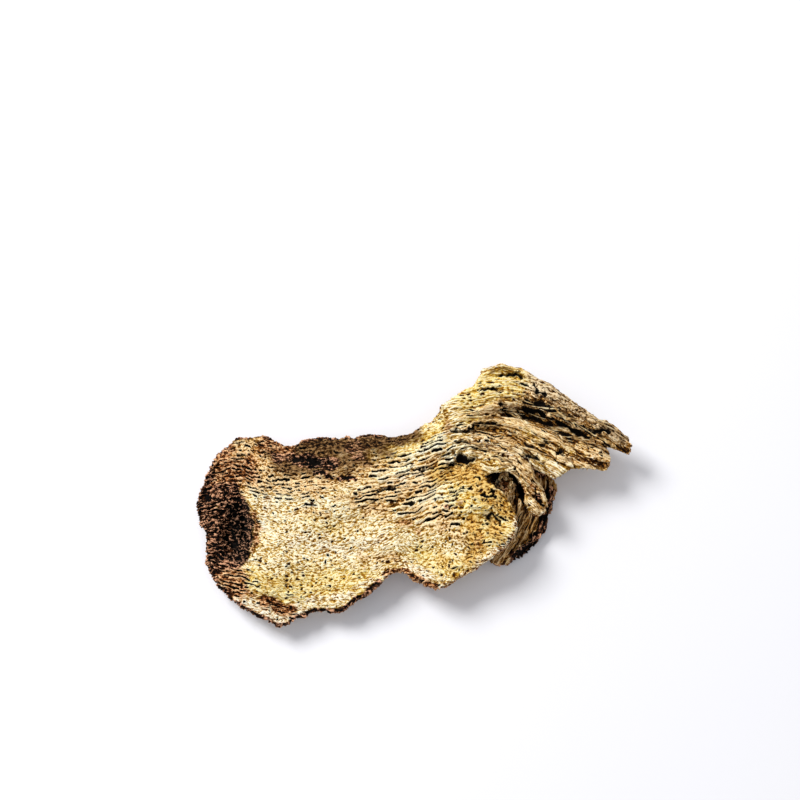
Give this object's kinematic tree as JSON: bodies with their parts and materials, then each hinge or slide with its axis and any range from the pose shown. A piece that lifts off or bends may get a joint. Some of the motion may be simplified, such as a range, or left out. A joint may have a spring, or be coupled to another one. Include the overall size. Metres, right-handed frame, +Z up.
{
  "type": "dried root slice",
  "caption": "Lengthwise slice of dried pubescent angelica root: a broad crown with a dark stem hollow, a fibrous cut face, a lobe, and forked side roots, lying flat.",
  "frame": {"origin": "under the middle of the slice, on the surface that it rests on", "axes": "+X from the crown along the root to its split end, +Y across the slice, +Z up from the surface it lies on"},
  "size_m": [0.0848, 0.051, 0.0109],
  "materials": {
    "cut_wood_and_bark": "dry, matt, beige-yellow cut root wood with brown oil specks, open slits and a dark wrinkled bark rim",
    "split_root_wood": "dry, matt, tan split root wood with pale torn edges and dark folds",
    "curled_root_wood": "dry, matt, straw-coloured fibrous root wood",
    "brown_root_bark": "dry, matt, fibrous brown root with crumbling black bark"
  },
  "bodies": {
    "root": {"root_body": "cut_wood_and_bark", "split_side_root": "split_root_wood", "curled_side_root": "curled_root_wood", "lower_side_root": "brown_root_bark"}
  },
  "joints": []
}
